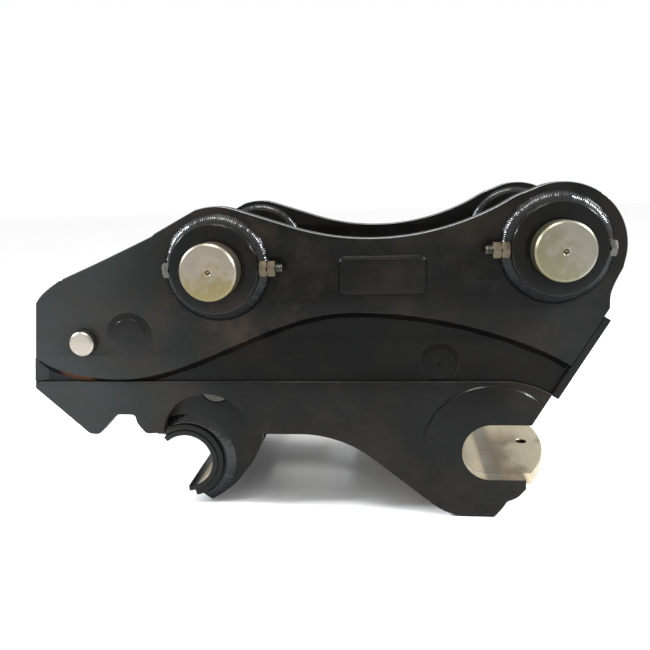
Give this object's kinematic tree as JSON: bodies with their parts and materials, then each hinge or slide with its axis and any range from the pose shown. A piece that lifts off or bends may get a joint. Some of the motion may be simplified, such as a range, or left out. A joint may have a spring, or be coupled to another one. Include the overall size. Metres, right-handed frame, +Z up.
{
  "type": "quick coupler",
  "caption": "Hydraulic quick coupler for an excavator: paired side plates with machine pins, a fixed jaw and a swinging hook driven by a cylinder.",
  "frame": {"origin": "under the middle of the assembly, at the level of the flat under the fixed jaw's lips", "axes": "+X from the nose to the fixed jaw, +Y across the coupler along the pins, +Z up"},
  "size_m": [0.972, 0.5366, 0.5504],
  "materials": {
    "black_paint": "glossy, lightly scuffed",
    "bare_steel": "turned and oiled",
    "dark_steel": "phosphated",
    "zinc_plate": "yellow zinc",
    "chrome_rod": "hard chrome"
  },
  "bodies": {
    "frame": {"side_plate_near": "black_paint", "side_plate_far": "black_paint", "upper_doubler_near": "black_paint", "upper_doubler_far": "black_paint", "lower_doubler_near": "black_paint", "lower_doubler_far": "black_paint", "jaw_plate_near": "black_paint", "jaw_plate_far": "black_paint", "arm_boss_near": "black_paint", "arm_boss_far": "black_paint", "link_boss_near": "black_paint", "link_boss_far": "black_paint", "arm_inner_boss_near": "black_paint", "arm_inner_boss_far": "black_paint", "link_inner_boss_near": "black_paint", "link_inner_boss_far": "black_paint", "arm_pin": "bare_steel", "link_pin": "bare_steel", "arm_lock_bolt": "dark_steel", "link_lock_bolt": "dark_steel", "arm_nut": "zinc_plate", "arm_locknut": "zinc_plate", "link_nut": "zinc_plate", "link_locknut": "zinc_plate", "nameplate_pad": "black_paint", "jaw_liner": "bare_steel", "rear_cross_plate": "black_paint", "top_deck": "black_paint", "nose_plate": "black_paint", "nose_top_plate": "black_paint", "cylinder_lug_near": "black_paint", "cylinder_lug_far": "black_paint", "hook_pivot_pin": "black_paint", "cylinder_base_pin": "black_paint", "hook_washer_near": "dark_steel", "hook_washer_far": "dark_steel", "keeper_boss": "dark_steel"},
    "hook": {"hook_cheek_near": "black_paint", "hook_cheek_far": "black_paint", "hook_rib_near": "black_paint", "hook_rib_far": "black_paint", "hook_collar_near": "black_paint", "hook_collar_far": "black_paint", "hook_seat": "bare_steel", "hook_back_plate": "black_paint", "rod_pin": "bare_steel"},
    "cylinder": {"cylinder_base_eye": "black_paint", "cylinder_base_cap": "black_paint", "cylinder_barrel": "black_paint", "cylinder_gland": "dark_steel", "valve_block": "dark_steel", "port_fitting_a": "zinc_plate", "port_fitting_b": "zinc_plate"},
    "rod": {"piston": "dark_steel", "piston_rod": "chrome_rod", "rod_eye": "black_paint"},
    "safety_pin": {"safety_pin": "bare_steel", "safety_pin_flag": "black_paint", "keeper_bolt": "zinc_plate"}
  },
  "joints": [
    {"name": "hook_pivot", "type": "hinge", "parent": "frame", "child": "hook", "pos_m": [-0.3105, 0, 0.316], "axis": [0, -1, 0], "range_deg": [0, 20]},
    {"name": "cylinder_swing", "type": "hinge", "parent": "frame", "child": "cylinder", "pos_m": [0.204, 0, 0.266], "axis": [0, -1, 0], "range_deg": [-8, 0]},
    {"name": "rod_slide", "type": "slide", "parent": "cylinder", "child": "rod", "axis": [-0.9922, 0, -0.1248], "range_m": [-0.031, 0]},
    {"name": "safety_pin_slide", "type": "slide", "parent": "frame", "child": "safety_pin", "axis": [0, 1, 0], "range_m": [0, 0.375]}
  ],
  "couplings": [
    {"joint": "cylinder_swing", "follows": "hook_pivot", "ratio": -0.37305},
    {"joint": "rod_slide", "follows": "hook_pivot", "m_per_rad": -0.08733}
  ]
}
